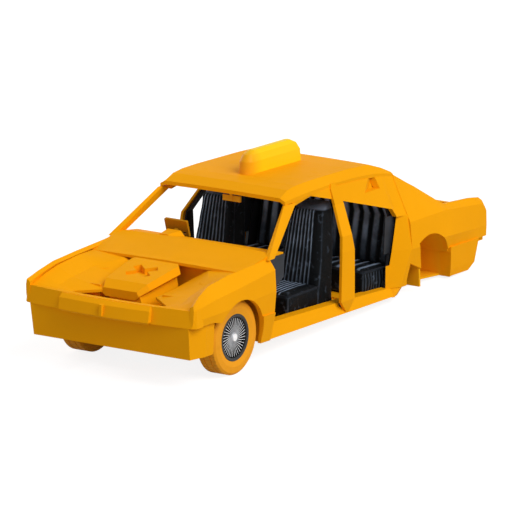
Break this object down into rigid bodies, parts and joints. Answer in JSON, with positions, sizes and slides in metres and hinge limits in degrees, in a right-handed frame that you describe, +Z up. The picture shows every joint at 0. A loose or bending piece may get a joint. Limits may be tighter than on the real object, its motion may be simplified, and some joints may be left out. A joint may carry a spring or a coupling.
{
  "type": "taxi cab body",
  "caption": "Stripped four-door taxi saloon: open body shell, black pleated seats, lace front wheels that steer and roll, blank roof sign.",
  "frame": {"origin": "centre of the bounding box, on the ground", "axes": "+X to the car's left, +Y to its rear, +Z up; the car stands tail-down on its front tyres and rear valance"},
  "size_m": [1.81, 4.8274, 1.5414],
  "materials": {
    "orange_paint": "satin orange taxi paint",
    "orange_plastic": "orange moulded plastic",
    "seat_leather": "black pleated upholstery",
    "black_trim": "black trim",
    "tyre_orange": "rubber in the body colour",
    "wheel_silver": "bright lace spokes",
    "disc_steel": "turned steel",
    "chassis_iron": "painted castings",
    "sign_yellow": "translucent yellow lens"
  },
  "bodies": {
    "root": {"b_pillar_left": "orange_paint", "b_pillar_right": "orange_paint", "b_pillar_trim_left": "black_trim", "b_pillar_trim_right": "black_trim", "boot_floor": "orange_paint", "bulkhead": "orange_paint", "damper_legs": "chassis_iron", "dashboard": "black_trim", "engine_block": "orange_paint", "floor_pan": "orange_paint", "front_bumper": "orange_paint", "front_seat_left": "seat_leather", "front_seat_right": "seat_leather", "front_subframe": "chassis_iron", "front_wing_left": "orange_paint", "front_wing_right": "orange_paint", "headlining": "black_trim", "inner_wing_left": "orange_paint", "inner_wing_right": "orange_paint", "interior_mirror": "orange_plastic", "nose_panel": "orange_paint", "parcel_shelf": "orange_paint", "quarter_trim_left": "black_trim", "quarter_trim_right": "black_trim", "radiator_panel": "orange_paint", "rear_panel": "orange_paint", "rear_quarter_left": "orange_paint", "rear_quarter_right": "orange_paint", "rear_seat": "seat_leather", "rear_wheelhouse_left": "orange_paint", "rear_wheelhouse_right": "orange_paint", "roof_panel": "orange_paint", "roof_rail_left": "orange_paint", "roof_rail_right": "orange_paint", "scuttle": "orange_paint", "sill_left": "orange_paint", "sill_right": "orange_paint", "steering_column": "orange_plastic", "steering_wheel": "orange_plastic", "taxi_sign": "sign_yellow"},
    "left_knuckle": {"knuckle_left": "chassis_iron"},
    "left_wheel": {"brake_disc_left": "disc_steel", "tyre_left": "tyre_orange", "lace_wheel_left": "wheel_silver"},
    "right_knuckle": {"knuckle_right": "chassis_iron"},
    "right_wheel": {"brake_disc_right": "disc_steel", "tyre_right": "tyre_orange", "lace_wheel_right": "wheel_silver"}
  },
  "joints": [
    {"name": "left_steer", "type": "hinge", "parent": "root", "child": "left_knuckle", "pos_m": [0.64, -1.56621, 0.33], "axis": [0, 0.0701, 0.9975], "range_deg": [-33, 33]},
    {"name": "left_wheel_spin", "type": "hinge", "parent": "left_knuckle", "child": "left_wheel", "pos_m": [0.73, -1.56621, 0.33], "axis": [1, 0, 0], "continuous": true},
    {"name": "right_steer", "type": "hinge", "parent": "root", "child": "right_knuckle", "pos_m": [-0.64, -1.56621, 0.33], "axis": [0, 0.0701, 0.9975], "range_deg": [-33, 33]},
    {"name": "right_wheel_spin", "type": "hinge", "parent": "right_knuckle", "child": "right_wheel", "pos_m": [-0.73, -1.56621, 0.33], "axis": [1, 0, 0], "continuous": true}
  ],
  "couplings": [
    {"joint": "right_steer", "follows": "left_steer", "ratio": 1}
  ]
}
